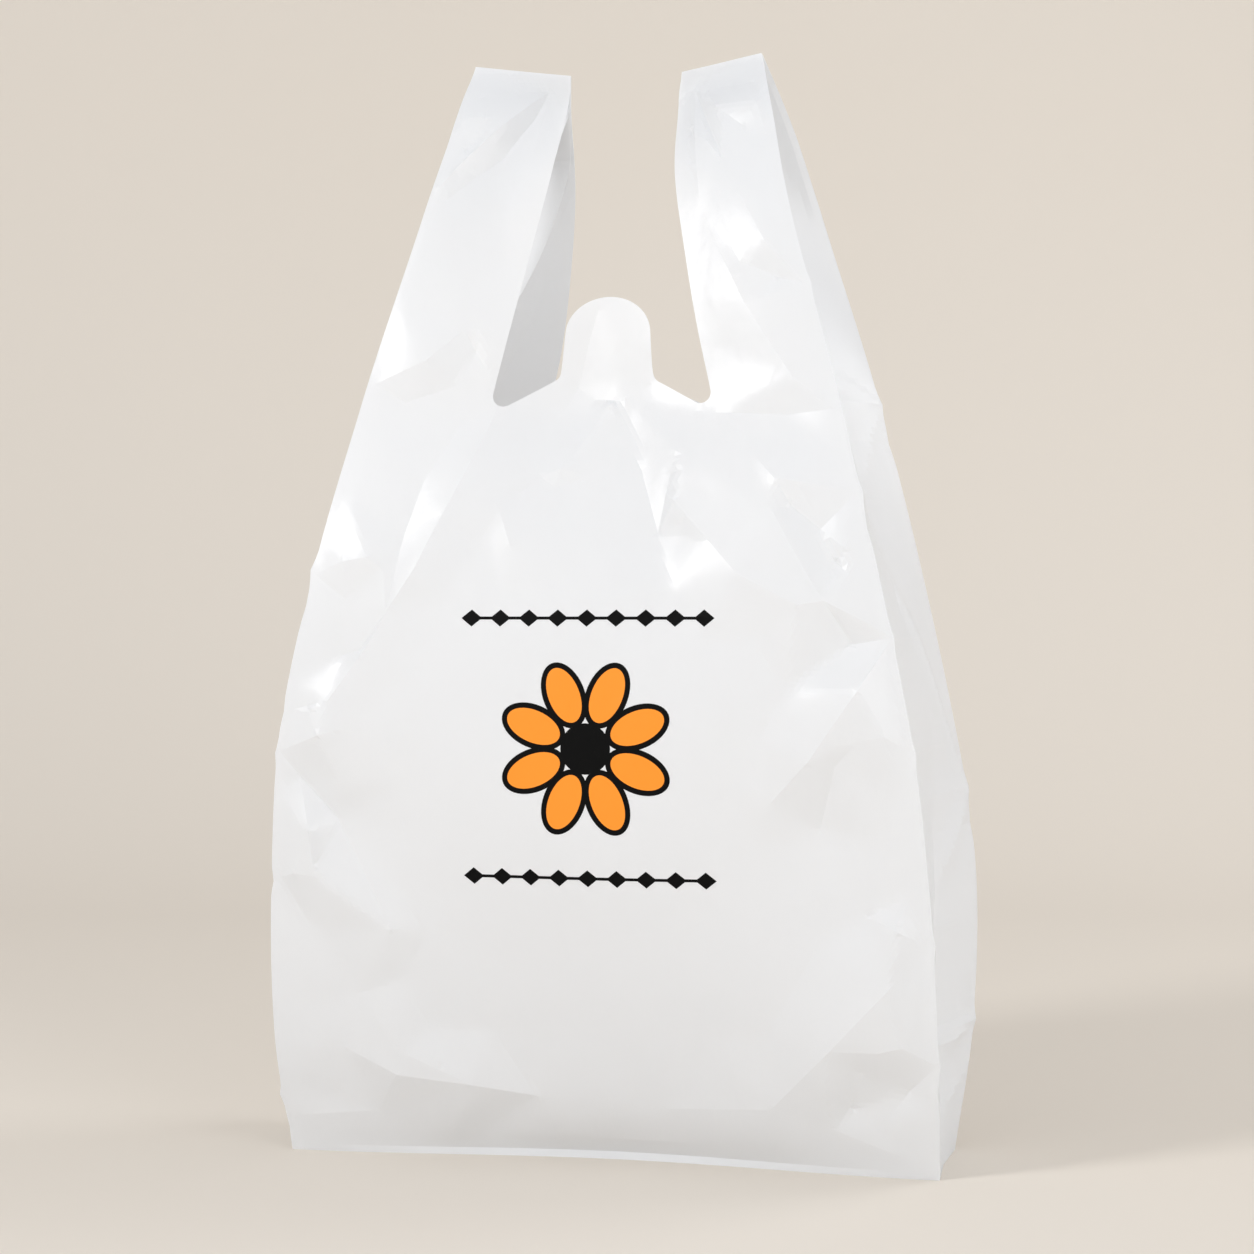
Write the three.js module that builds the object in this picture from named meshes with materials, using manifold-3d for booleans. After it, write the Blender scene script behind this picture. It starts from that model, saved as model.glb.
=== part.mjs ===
// Vest-style carrier bag of thin white plastic film, standing open on its base.
// Millimetres, +Z up. The origin is the middle of the base on the floor, +X is to the right of
// someone who faces the printed front, and the front looks towards -Y.
// The bag is one gusseted tube of film: a front and a back panel, with a side gusset between them at
// each side that folds inwards. The bottom is welded shut. The mouth, the hanging tab and the two
// handles are one die cut through the flat tube, and each handle is welded across its top.
import * as THREE from "three";
import { mergeVertices } from "three/addons/utils/BufferGeometryUtils.js";
import Module from "manifold-3d";

// Film. The real film is about 0.05 mm thick, and WALL stands for it.
const WALL = 0.5;

// Heights above the floor
const HEIGHT = 540; // outer corner of each handle's welded top
const BELLY_HEIGHT = 80;
const SHOULDER_HEIGHT = 220;
const DRAPE_HEIGHT = 300;
const MOUTH_HEIGHT = 366; // lowest point of the mouth, beside each handle
const WRIST_DROP = 80; // below the top, where the handles are widest apart
const NECK_DROP = 20; // below the top, where a handle's layers start to close on its weld
const UNDERCUT_HEIGHT = 24; // how far up the panels are rolled under

// Widths across the front folds
const BASE_WIDTH = 321;
const BELLY_WIDTH = 324;
const SHOULDER_WIDTH = 300;
const MOUTH_WIDTH = 233;
const WRIST_WIDTH = 180;
const TOP_WIDTH = 144;
const BACK_SPREAD = 5.5; // how much further out the back folds stand, each side

// Depths from front fold to back fold
const BASE_DEPTH = 72;
const BELLY_DEPTH = 122;
const SHOULDER_DEPTH = 155;
const MOUTH_DEPTH = 120;
const WRIST_DEPTH = 86;
const NECK_DEPTH = 48;

// Depths from panel to panel along the middle
const BASE_MIDDLE_DEPTH = 48;
const UNDERCUT_MIDDLE_DEPTH = 103;
const BELLY_MIDDLE_DEPTH = 140;
const SHOULDER_MIDDLE_DEPTH = 160;
const DRAPE_MIDDLE_DEPTH = 136;
const MOUTH_MIDDLE_DEPTH = 79;
const WRIST_MIDDLE_DEPTH = 54;
const TOP_MIDDLE_DEPTH = -20; // the panels' middle lines would have crossed here

// Side gussets: how far their middle fold is tucked in
const BASE_TUCK = 2;
const BELLY_TUCK = 12;
const SHOULDER_TUCK = 2;
const MOUTH_TUCK = 20;

// Handles
const HANDLE_WIDTH = 44; // across the welded top
const WELD_BAND = 4;
const WELD_SLANT = THREE.MathUtils.degToRad(9);
const LAYER_GAP = 0.8; // between the middles of two layers of film where they lie together
const ARCH_WIDTH = 52; // widest opening between a handle's two straps, seen from the side
const ARCH_REACH = 52; // how far from the middle of the bag the gusset's cut edge is, halfway up

// Die cut
const CROTCH_SPACING = 96.4; // between the two lowest points of the mouth
const CROTCH_RADIUS = 6;
const STRAP_BOW = 3; // how far a strap's inner edge bows towards the middle
const TAB_BASE_WIDTH = 47;
const TAB_WIDTH = 43;
const TAB_TOP_HEIGHT = 419;
const TAB_BASE_RISE = 13; // the mouth's edge climbs this far from its lowest point to the tab

// Print, a flower between two strings of diamonds
const INK = 0.2;
const INK_GAP = 0.3;
const FLOWER_HEIGHT = 203;
const PETALS = 8;
const PETAL_LENGTH = 27;
const PETAL_WIDTH = 15;
const PETAL_RADIUS = 27; // from the flower's middle to the middle of a petal
const OUTLINE = 2.6;
const HEART_RADIUS = 12;
const STRING_RISE = 61; // from the flower's middle to each string of diamonds
const DIAMONDS = 9;
const DIAMOND_PITCH = 14;
const DIAMOND_WIDTH = 10;
const DIAMOND_HEIGHT = 8;
const STRING_LINE = 1.4;

// Bottom weld, a doubled strip of film across the middle of the base
const SEAM_WIDTH = 6;

// How finely the film is divided
const PANEL_COLUMNS = 20;
const GUSSET_COLUMNS = 3;
const ROWS = 39;
const ROW_CROWDING = 0.55; // rows are closer together at the base and at the handles' tops

// Folds that handling has left in the panels, as ridges from one point to another. Each point is a
// share of the belly's width and of the whole height, and rise and spread are in multiples of
// FOLD_RISE and FOLD_SPREAD.
const FOLD_RISE = 3;
const FOLD_SPREAD = 15; // on each side of the ridge
const FOLDS = [
  { from: [-0.42, 0.535], to: [-0.299, 0.493], rise: 1.33, spread: 1 },
  { from: [-0.154, 0.67], to: [-0.306, 0.496], rise: 1.33, spread: 0.87 },
  { from: [-0.185, 0.689], to: [-0.358, 0.417], rise: 1, spread: 1 },
  { from: [0.167, 0.67], to: [0.346, 0.504], rise: 1.5, spread: 0.93 },
  { from: [0.176, 0.669], to: [0.352, 0.672], rise: 1, spread: 0.93 },
  { from: [0.009, 0.678], to: [0.096, 0.565], rise: -1, spread: 1.13 },
  { from: [0.133, 0.674], to: [0.096, 0.565], rise: 1, spread: 1 },
  { from: [0.096, 0.565], to: [0.309, 0.5], rise: 0.83, spread: 1.13 },
  { from: [-0.185, 0.628], to: [-0.083, 0.604], rise: -0.83, spread: 1 },
  { from: [0.392, 0.598], to: [0.29, 0.607], rise: 1, spread: 0.93 },
  { from: [0.451, 0.474], to: [0.346, 0.431], rise: 1.17, spread: 1 },
  { from: [0.469, 0.374], to: [0.377, 0.363], rise: 1.17, spread: 1 },
  { from: [-0.469, 0.365], to: [-0.389, 0.326], rise: 1, spread: 1 },
  { from: [0.494, 0.209], to: [0.253, 0.061], rise: 1.67, spread: 1.6 },
  { from: [0.488, 0.107], to: [0.373, 0.1], rise: 1, spread: 1.07 },
  { from: [-0.457, 0.178], to: [-0.185, 0.074], rise: 1.5, spread: 1.6 },
  { from: [-0.111, 0.978], to: [-0.216, 0.704], rise: 0.67, spread: 0.73 },
  { from: [0.105, 0.978], to: [0.302, 0.778], rise: 0.67, spread: 0.73 },
  { from: [0.207, 0.794], to: [0.352, 0.678], rise: 1, spread: 1 },
];
const FOLD_FADE = 0.25; // share of a ridge's length over which each end dies away

const wasm = await Module();
wasm.setup();

// A smooth curve through [height, size] points: given a height, it returns the size there.
function profile(points) {
  const slopes = points.map((_, i) => {
    const before = points[Math.max(i - 1, 0)];
    const after = points[Math.min(i + 1, points.length - 1)];
    return (after[1] - before[1]) / (after[0] - before[0]);
  });
  return (height) => {
    const z = THREE.MathUtils.clamp(height, points[0][0], points.at(-1)[0]);
    let i = points.findIndex((p) => p[0] > z) - 1;
    if (i < 0) i = points.length - 2;
    const step = points[i + 1][0] - points[i][0];
    const t = (z - points[i][0]) / step;
    return (
      (2 * t ** 3 - 3 * t ** 2 + 1) * points[i][1] +
      (t ** 3 - 2 * t ** 2 + t) * step * slopes[i] +
      (-2 * t ** 3 + 3 * t ** 2) * points[i + 1][1] +
      (t ** 3 - t ** 2) * step * slopes[i + 1]
    );
  };
}

const STRIP_DEPTH = 1.5 * LAYER_GAP; // of a strap's outer layer from the middle, at the weld
const HALF_DEPTH = 0.5 * LAYER_GAP; // of a gusset's layer there
const WELD_FOOT = HEIGHT - WELD_BAND;
const WRIST_HEIGHT = HEIGHT - WRIST_DROP;
const NECK_HEIGHT = HEIGHT - NECK_DROP;

const foldHalfWidth = profile([
  [0, BASE_WIDTH / 2],
  [BELLY_HEIGHT, BELLY_WIDTH / 2],
  [SHOULDER_HEIGHT, SHOULDER_WIDTH / 2],
  [MOUTH_HEIGHT, MOUTH_WIDTH / 2],
  [WRIST_HEIGHT, WRIST_WIDTH / 2],
  [HEIGHT, TOP_WIDTH / 2],
]);

const backSpread = profile([
  [0, 0],
  [BELLY_HEIGHT, BACK_SPREAD],
  [MOUTH_HEIGHT, BACK_SPREAD],
  [WELD_FOOT, 0],
]);

const foldHalfDepth = profile([
  [0, BASE_DEPTH / 2],
  [BELLY_HEIGHT, BELLY_DEPTH / 2],
  [SHOULDER_HEIGHT, SHOULDER_DEPTH / 2],
  [MOUTH_HEIGHT, MOUTH_DEPTH / 2],
  [WRIST_HEIGHT, WRIST_DEPTH / 2],
  [NECK_HEIGHT, NECK_DEPTH / 2],
  [WELD_FOOT, STRIP_DEPTH],
]);

const middleHalfDepth = profile([
  [0, BASE_MIDDLE_DEPTH / 2],
  [UNDERCUT_HEIGHT, UNDERCUT_MIDDLE_DEPTH / 2],
  [BELLY_HEIGHT, BELLY_MIDDLE_DEPTH / 2],
  [SHOULDER_HEIGHT, SHOULDER_MIDDLE_DEPTH / 2],
  [DRAPE_HEIGHT, DRAPE_MIDDLE_DEPTH / 2],
  [MOUTH_HEIGHT, MOUTH_MIDDLE_DEPTH / 2],
  [WRIST_HEIGHT, WRIST_MIDDLE_DEPTH / 2],
  [HEIGHT, TOP_MIDDLE_DEPTH / 2],
]);

const tuckDepth = profile([
  [0, BASE_TUCK],
  [BELLY_HEIGHT, BELLY_TUCK],
  [SHOULDER_HEIGHT, SHOULDER_TUCK],
  [MOUTH_HEIGHT, MOUTH_TUCK],
]);

// Cut edge of a strap's gusset layer above the mouth: how far out it is, and how far from the middle
const gussetEdgeReach = profile([
  [MOUTH_HEIGHT, foldHalfWidth(MOUTH_HEIGHT) + BACK_SPREAD / 2 - MOUTH_TUCK],
  [(MOUTH_HEIGHT + WRIST_HEIGHT) / 2, 1.25 * ARCH_REACH],
  [WRIST_HEIGHT, 0.9 * ARCH_REACH],
  [WELD_FOOT, TOP_WIDTH / 2 - HANDLE_WIDTH + CROTCH_RADIUS / 2],
]);
const gussetEdgeDepth = profile([
  [MOUTH_HEIGHT, 0],
  [(MOUTH_HEIGHT + WRIST_HEIGHT) / 2, 0.65 * (ARCH_WIDTH / 2)],
  [WRIST_HEIGHT, ARCH_WIDTH / 2],
  [NECK_HEIGHT, 0.2 * (ARCH_WIDTH / 2)],
  [WELD_FOOT, HALF_DEPTH],
]);

// How far one fold's ridge lifts the film at x, z.
function ridgeLift({ from, to, rise, spread }, x, z) {
  const [startX, startZ] = [from[0] * BELLY_WIDTH, from[1] * HEIGHT];
  const [dx, dz] = [to[0] * BELLY_WIDTH - startX, to[1] * HEIGHT - startZ];
  const length = Math.hypot(dx, dz);
  const along = ((x - startX) * dx + (z - startZ) * dz) / length ** 2;
  const aside = Math.abs((x - startX) * dz - (z - startZ) * dx) / length;
  const side = Math.max(0, 1 - aside / (spread * FOLD_SPREAD));
  const ends =
    THREE.MathUtils.smoothstep(along, -FOLD_FADE, FOLD_FADE) *
    THREE.MathUtils.smoothstep(1 + FOLD_FADE - along, 0, 2 * FOLD_FADE);
  return rise * FOLD_RISE * side * ends;
}

// Distance of a panel from the middle plane at x, z. side is -1 for the front and 1 for the back,
// whose folds are the front's seen in a mirror.
function panelDepth(x, z, side) {
  const edge = halfWidth(z, side);
  const across = THREE.MathUtils.clamp(x / edge, -1, 1);
  const hang = Math.cos((Math.PI / 2) * across) ** 2;
  const outer = foldHalfDepth(z);
  const smooth = outer + (middleHalfDepth(z) - outer) * hang;
  const free = (1 - across ** 6) * Math.min(1, z / UNDERCUT_HEIGHT);
  const lift = FOLDS.reduce((sum, f) => sum + ridgeLift(f, -side * x, z), 0);
  return Math.max(STRIP_DEPTH, smooth + lift * free);
}

function halfWidth(z, side) {
  return foldHalfWidth(z) + (side > 0 ? backSpread(z) : 0);
}

// A grid of triangles over point(u, v), which faces the way that u across v turns to.
function patch(columns, rowAt, point) {
  const corners = [];
  const grid = rowAt.map((v) =>
    Array.from({ length: columns + 1 }, (_, i) => point(i / columns, v)),
  );
  for (let j = 0; j + 1 < grid.length; j += 1) {
    for (let i = 0; i < columns; i += 1) {
      const [a, b] = [grid[j][i], grid[j][i + 1]];
      const [d, c] = [grid[j + 1][i], grid[j + 1][i + 1]];
      corners.push(a, b, c, a, c, d);
    }
  }
  return corners;
}

// Rows of the film from the base to the foot of the welds, closest together at both ends, and one
// row that the die trims off above them.
function rowHeights() {
  const rows = Array.from({ length: ROWS + 1 }, (_, j) => {
    const t = j / ROWS;
    const eased = t - (ROW_CROWDING * Math.sin(2 * Math.PI * t)) / (2 * Math.PI);
    return WALL / 2 + eased * (WELD_FOOT - WALL / 2);
  });
  return [...rows, HEIGHT + 2 * WELD_BAND];
}

// How far a row has come down at x, because the rows lie along the slanted welds at the top.
function rowDrop(x, z) {
  const inward = Math.max(0, TOP_WIDTH / 2 - Math.abs(x));
  return THREE.MathUtils.smoothstep(z, WRIST_HEIGHT, NECK_HEIGHT) * inward * Math.tan(WELD_SLANT);
}

function panelPoint(share, z, side) {
  const x = -side * (2 * share - 1) * halfWidth(z, side);
  return new THREE.Vector3(x, side * panelDepth(x, z, side), z - rowDrop(x, z));
}

// Where a layer lies that touches the inside of the panel. Where the panel is steep, the gap between
// their middles is still measured square to it.
function insideOfPanel(x, z, side) {
  const depth = panelDepth(x, z, side);
  const slope = (panelDepth(x, z + WALL, side) - panelDepth(x, z - WALL, side)) / (2 * WALL);
  return Math.max(HALF_DEPTH, depth - LAYER_GAP * Math.hypot(1, slope));
}

// One half of a gusset, from its fold with the panel on that side to its own middle fold, or to its
// cut edge above the mouth. hand is 1 for the right gusset and -1 for the left.
function gussetPoint(share, z, side, hand) {
  const fold = { x: halfWidth(z, side), y: Math.max(STRIP_DEPTH, foldHalfDepth(z)) };
  const cut = z > MOUTH_HEIGHT;
  const middle = foldHalfWidth(z) + backSpread(z) / 2 - tuckDepth(z);
  const end = {
    x: cut ? gussetEdgeReach(z) : middle,
    y: cut ? Math.max(HALF_DEPTH, gussetEdgeDepth(z)) : 0,
  };
  const x = THREE.MathUtils.lerp(fold.x, end.x, share);
  let y = THREE.MathUtils.lerp(fold.y, end.y, share);
  if (cut && share > 0) y = Math.min(y, insideOfPanel(x, z, side));
  return new THREE.Vector3(hand * x, side * y, z - rowDrop(x, z));
}

function basePoint(across, share) {
  const z = WALL / 2;
  const front = panelPoint(share, z, -1);
  const back = panelPoint(1 - share, z, 1);
  const gusset = (hand) =>
    across <= 0.5
      ? gussetPoint(2 * across, z, -1, hand)
      : gussetPoint(2 - 2 * across, z, 1, hand);
  const straight = (a, b, t) => a.clone().lerp(b, t);
  const [frontLeft, frontRight] = [panelPoint(0, z, -1), panelPoint(1, z, -1)];
  const [backLeft, backRight] = [panelPoint(1, z, 1), panelPoint(0, z, 1)];
  const corners = straight(
    straight(frontLeft, frontRight, share),
    straight(backLeft, backRight, share),
    across,
  );
  return straight(front, back, across)
    .add(straight(gusset(-1), gusset(1), share))
    .sub(corners);
}

// The whole film as a sheet with no thickness, its panels meeting along their folds.
function filmSheet() {
  const rows = rowHeights();
  const bottomRows = Array.from(
    { length: PANEL_COLUMNS + 1 },
    (_, i) => i / PANEL_COLUMNS,
  );
  const corners = [
    ...patch(PANEL_COLUMNS, rows, (u, z) => panelPoint(u, z, -1)),
    ...patch(PANEL_COLUMNS, rows, (u, z) => panelPoint(u, z, 1)),
    ...patch(GUSSET_COLUMNS, rows, (u, z) => gussetPoint(u, z, -1, 1)),
    ...patch(GUSSET_COLUMNS, rows, (u, z) => gussetPoint(1 - u, z, 1, 1)),
    ...patch(GUSSET_COLUMNS, rows, (u, z) => gussetPoint(u, z, 1, -1)),
    ...patch(GUSSET_COLUMNS, rows, (u, z) => gussetPoint(1 - u, z, -1, -1)),
    ...patch(2 * GUSSET_COLUMNS, bottomRows, basePoint),
  ];
  return new THREE.BufferGeometry().setFromPoints(corners);
}

// Gives a sheet its wall, half on each side, and closes it along its free edges. At a sharp fold
// the wall's corner is pushed out to keep its thickness, up to a limit. Nothing goes below the floor.
function thicken(sheet, wall) {
  const least = 0.45;
  const alike = 0.97; // faces whose normals are this close count as one
  const merged = mergeVertices(sheet, 1e-2);
  const at = merged.getAttribute("position");
  const count = at.count;
  const points = Array.from({ length: count }, (_, i) =>
    new THREE.Vector3().fromBufferAttribute(at, i),
  );
  const faces = [];
  for (let k = 0; k < merged.index.count; k += 3) {
    const face = [0, 1, 2].map((c) => merged.index.getX(k + c));
    if (new Set(face).size === 3) faces.push(face);
  }
  const normals = faces.map((f) =>
    new THREE.Triangle(...f.map((i) => points[i])).getNormal(new THREE.Vector3()),
  );
  const around = points.map(() => []);
  faces.forEach((f, k) => f.forEach((i) => around[i].push(normals[k])));
  const push = around.map((list) => {
    const distinct = list.filter((n, i) => !list.slice(0, i).some((m) => m.dot(n) > alike));
    const sum = distinct.reduce((total, n) => total.add(n), new THREE.Vector3()).normalize();
    const tightest = Math.min(...distinct.map((n) => n.dot(sum)));
    return sum.multiplyScalar(wall / 2 / Math.max(least, tightest));
  });
  const edges = new Set(faces.flatMap(([a, b, c]) => [`${a},${b}`, `${b},${c}`, `${c},${a}`]));
  const rim = [...edges]
    .map((e) => e.split(",").map(Number))
    .filter(([a, b]) => !edges.has(`${b},${a}`));
  const triangles = [
    ...faces.flat(),
    ...faces.flatMap(([a, b, c]) => [a + count, c + count, b + count]),
    ...rim.flatMap(([a, b]) => [b, a, a + count, b, a + count, b + count]),
  ];
  const corners = [
    ...points.map((p, i) => p.clone().add(push[i])),
    ...points.map((p, i) => p.clone().sub(push[i])),
  ];
  corners.forEach((p) => p.setZ(Math.max(0, p.z)));
  return new THREE.BufferGeometry().setFromPoints(corners).setIndex(triangles);
}

// A closed three.js geometry as a solid that can be joined and cut.
function solidOf(geometry) {
  const bare = geometry.clone();
  bare.deleteAttribute("normal");
  bare.deleteAttribute("uv");
  const merged = mergeVertices(bare, 1e-4);
  return new wasm.Manifold(
    new wasm.Mesh({
      numProp: 3,
      vertProperties: new Float32Array(merged.getAttribute("position").array),
      triVerts: new Uint32Array(merged.index.array),
    }),
  );
}

function geometryOf(solid) {
  const mesh = solid.getMesh();
  const geometry = new THREE.BufferGeometry();
  geometry.setAttribute("position", new THREE.BufferAttribute(mesh.vertProperties, 3));
  geometry.setIndex(new THREE.BufferAttribute(mesh.triVerts, 1));
  geometry.computeVertexNormals();
  return geometry;
}

// A shape drawn in x and z, given a depth along Y from near to far.
function acrossDepth(shape, near, far, curveSegments = 10) {
  const geometry = new THREE.ExtrudeGeometry(shape, {
    depth: far - near,
    bevelEnabled: false,
    curveSegments,
  });
  return geometry.translate(0, 0, -far).rotateX(Math.PI / 2);
}

// A strap's inner edge with the mouth's low point beside it, from the weld down, as the points and
// handles of its curves.
function strapEdge(hand) {
  const r = CROTCH_RADIUS;
  const low = CROTCH_SPACING / 2;
  const top = [TOP_WIDTH / 2 - HANDLE_WIDTH, HEIGHT - HANDLE_WIDTH * Math.tan(WELD_SLANT)];
  const foot = [low + 0.7 * r, MOUTH_HEIGHT + 1.9 * r];
  const bow = [(top[0] + foot[0]) / 2 - STRAP_BOW, (top[1] + foot[1]) / 2];
  const turnOut = [foot[0] + 0.15 * r, MOUTH_HEIGHT + 0.5 * r];
  const turnIn = [low + 0.4 * r, MOUTH_HEIGHT - 0.25 * r];
  const end = [low - 0.7 * r, MOUTH_HEIGHT + 0.25 * r];
  return [top, bow, foot, turnOut, turnIn, end].map(([x, z]) => [hand * x, z]);
}

// The mouth's edge from left to right between its two low points, with the tab or without it.
function drawMouth(shape, withTab) {
  const r = CROTCH_RADIUS;
  const foot = TAB_BASE_WIDTH / 2;
  const footHeight = MOUTH_HEIGHT + TAB_BASE_RISE;
  const round = TAB_WIDTH / 2;
  const shoulder = TAB_TOP_HEIGHT - round;
  if (withTab) {
    shape.lineTo(-foot - r / 3, footHeight - r / 4);
    shape.quadraticCurveTo(-foot, footHeight, -foot + r / 6, footHeight + r / 2);
    shape.lineTo(-round, shoulder);
    shape.absarc(0, shoulder, round, Math.PI, 0, true);
    shape.lineTo(foot - r / 6, footHeight + r / 2);
    shape.quadraticCurveTo(foot, footHeight, foot + r / 3, footHeight - r / 4);
  } else {
    shape.lineTo(-foot, footHeight - r / 3);
    shape.quadraticCurveTo(0, footHeight + r / 3, foot, footHeight - r / 3);
  }
}

// The waste that the die takes out: the mouth, what is between the handles, and everything above
// their slanted tops.
function dieWaste(withTab) {
  const far = BELLY_WIDTH;
  const farHeight = HEIGHT + (far - TOP_WIDTH / 2) * Math.tan(WELD_SLANT);
  const left = strapEdge(-1);
  const [top, bow, foot, turnOut, turnIn, end] = strapEdge(1);
  const shape = new THREE.Shape();
  shape.moveTo(-far, farHeight);
  shape.lineTo(...left[0]);
  shape.quadraticCurveTo(...left[1], ...left[2]);
  shape.bezierCurveTo(...left[3], ...left[4], ...left[5]);
  drawMouth(shape, withTab);
  shape.lineTo(...end);
  shape.bezierCurveTo(...turnIn, ...turnOut, ...foot);
  shape.quadraticCurveTo(...bow, ...top);
  shape.lineTo(far, farHeight);
  shape.lineTo(far, farHeight + HEIGHT);
  shape.lineTo(-far, farHeight + HEIGHT);
  shape.closePath();
  return shape;
}

// The welded band across a handle's top, where its four layers are melted into one. It starts out
// longer than the handle is wide and is trimmed by the die with the rest.
function weldBand(hand) {
  const spare = CROTCH_RADIUS / 2;
  const [outerX, innerX] = [TOP_WIDTH / 2 - WALL, TOP_WIDTH / 2 - HANDLE_WIDTH - spare];
  const drop = (x) => HEIGHT - (TOP_WIDTH / 2 - x) * Math.tan(WELD_SLANT);
  const outline = [
    [outerX, drop(outerX) + spare],
    [innerX, drop(innerX) + spare],
    [innerX, drop(innerX) - WELD_BAND],
    [outerX, drop(outerX) - WELD_BAND],
  ].map(([x, z]) => new THREE.Vector2(hand * x, z));
  const half = STRIP_DEPTH + 0.7 * WALL;
  return acrossDepth(new THREE.Shape(outline), -half, half);
}

// The doubled film of the bottom weld, on the inside of the base.
function bottomSeam() {
  const length = BASE_WIDTH - 2 * BASE_TUCK - SEAM_WIDTH;
  const seam = new THREE.BoxGeometry(length, SEAM_WIDTH, WALL);
  return seam.translate(0, 0, 1.2 * WALL);
}

// The die's two cuts overlap by a wall's thickness in the middle of the bag.
function filmBag() {
  const deep = SHOULDER_MIDDLE_DEPTH;
  return solidOf(thicken(filmSheet(), WALL))
    .add(solidOf(weldBand(-1)))
    .add(solidOf(weldBand(1)))
    .add(solidOf(bottomSeam()))
    .subtract(solidOf(acrossDepth(dieWaste(true), -deep, WALL / 2)))
    .subtract(solidOf(acrossDepth(dieWaste(false), -WALL / 2, deep)));
}

// A skin of ink that follows the front panel's own rows and columns, a little way off it.
function inkSkin() {
  const reach = STRING_RISE + DIAMOND_HEIGHT;
  const rows = rowHeights();
  const first = rows.findLastIndex((z) => z < FLOWER_HEIGHT - reach);
  const last = rows.findIndex((z) => z > FLOWER_HEIGHT + reach);
  const off = new THREE.Vector3(0, -WALL / 2 - INK_GAP - INK / 2, 0);
  const corners = patch(PANEL_COLUMNS, rows.slice(first, last + 1), (u, z) =>
    panelPoint(u, z, -1).add(off),
  );
  return solidOf(thicken(new THREE.BufferGeometry().setFromPoints(corners), INK));
}

function petalOutline(index, grow) {
  const angle = ((index + 0.5) * 2 * Math.PI) / PETALS;
  const shape = new THREE.Shape();
  shape.absellipse(
    PETAL_RADIUS * Math.cos(angle),
    FLOWER_HEIGHT + PETAL_RADIUS * Math.sin(angle),
    PETAL_LENGTH / 2 + grow,
    PETAL_WIDTH / 2 + grow,
    0,
    2 * Math.PI,
    false,
    angle,
  );
  return shape;
}

// A shape's prism, long enough to pass through the front panel.
function stamp(shape, curveSegments) {
  return solidOf(acrossDepth(shape, -SHOULDER_MIDDLE_DEPTH, 0, curveSegments));
}

function petals(grow) {
  return Array.from({ length: PETALS }, (_, i) => stamp(petalOutline(i, grow), 10));
}

// Black lines round every petal, joined to a black heart.
function flowerLines() {
  const heart = new THREE.Shape();
  heart.absarc(0, FLOWER_HEIGHT, HEART_RADIUS, 0, 2 * Math.PI);
  const outside = petals(OUTLINE).reduce((all, one) => all.add(one), stamp(heart, 12));
  return petals(INK_GAP).reduce((all, one) => all.subtract(one), outside);
}

// A row of diamonds on one thin line.
function diamondString(height) {
  const half = ((DIAMONDS - 1) * DIAMOND_PITCH) / 2;
  const line = new THREE.Shape(
    [[-half, -1], [half, -1], [half, 1], [-half, 1]].map(
      ([x, side]) => new THREE.Vector2(x, height + (side * STRING_LINE) / 2),
    ),
  );
  let string = stamp(line);
  for (let i = 0; i < DIAMONDS; i += 1) {
    const x = i * DIAMOND_PITCH - half;
    const diamond = new THREE.Shape([
      new THREE.Vector2(x - DIAMOND_WIDTH / 2, height),
      new THREE.Vector2(x, height - DIAMOND_HEIGHT / 2),
      new THREE.Vector2(x + DIAMOND_WIDTH / 2, height),
      new THREE.Vector2(x, height + DIAMOND_HEIGHT / 2),
    ]);
    string = string.add(stamp(diamond));
  }
  return string;
}

const filmWhite = new THREE.MeshStandardMaterial({
  color: 0xf1f0f1,
  roughness: 0.3,
  metalness: 0,
  side: THREE.DoubleSide,
});
const inkOrange = new THREE.MeshStandardMaterial({ color: 0xf7932d, roughness: 0.4, metalness: 0 });
const inkBlack = new THREE.MeshStandardMaterial({ color: 0x0c0b0b, roughness: 0.4, metalness: 0 });

const bag = new THREE.Group();

function addMesh(name, solid, material) {
  const mesh = new THREE.Mesh(geometryOf(solid), material);
  mesh.name = name;
  bag.add(mesh);
}

addMesh("film_bag", filmBag(), filmWhite);
const skin = inkSkin();
petals(0).forEach((petal, i) => addMesh(`print_petal_${i + 1}`, skin.intersect(petal), inkOrange));
addMesh("print_flower_lines", skin.intersect(flowerLines()), inkBlack);
addMesh("print_string_lower", skin.intersect(diamondString(FLOWER_HEIGHT - STRING_RISE)), inkBlack);
addMesh("print_string_upper", skin.intersect(diamondString(FLOWER_HEIGHT + STRING_RISE)), inkBlack);

export default bag;
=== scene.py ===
import math

import bmesh
import bpy
import numpy as np
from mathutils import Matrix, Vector, noise
from mathutils.geometry import delaunay_2d_cdt


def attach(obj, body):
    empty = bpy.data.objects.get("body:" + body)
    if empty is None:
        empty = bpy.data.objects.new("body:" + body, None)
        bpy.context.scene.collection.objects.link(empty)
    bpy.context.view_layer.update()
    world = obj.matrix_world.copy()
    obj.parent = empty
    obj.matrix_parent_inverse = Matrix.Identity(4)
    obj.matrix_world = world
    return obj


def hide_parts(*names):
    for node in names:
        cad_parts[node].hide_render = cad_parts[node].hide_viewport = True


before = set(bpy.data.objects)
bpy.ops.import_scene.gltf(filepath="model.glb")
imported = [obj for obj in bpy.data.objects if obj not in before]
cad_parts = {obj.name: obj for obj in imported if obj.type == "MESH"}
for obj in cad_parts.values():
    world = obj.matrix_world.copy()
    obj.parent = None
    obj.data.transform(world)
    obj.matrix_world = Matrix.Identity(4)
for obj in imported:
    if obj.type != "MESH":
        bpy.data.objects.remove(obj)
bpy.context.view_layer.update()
mm = 0.001

# The tube of film. The bag is blown as one tube of thin white high-density plastic, with a gusset
# tucked into each side. Opened and stood up it bellies out low down and narrows to the handles. The
# sizes below are half widths and half depths up the bag, in millimetres from its middle.


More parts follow.
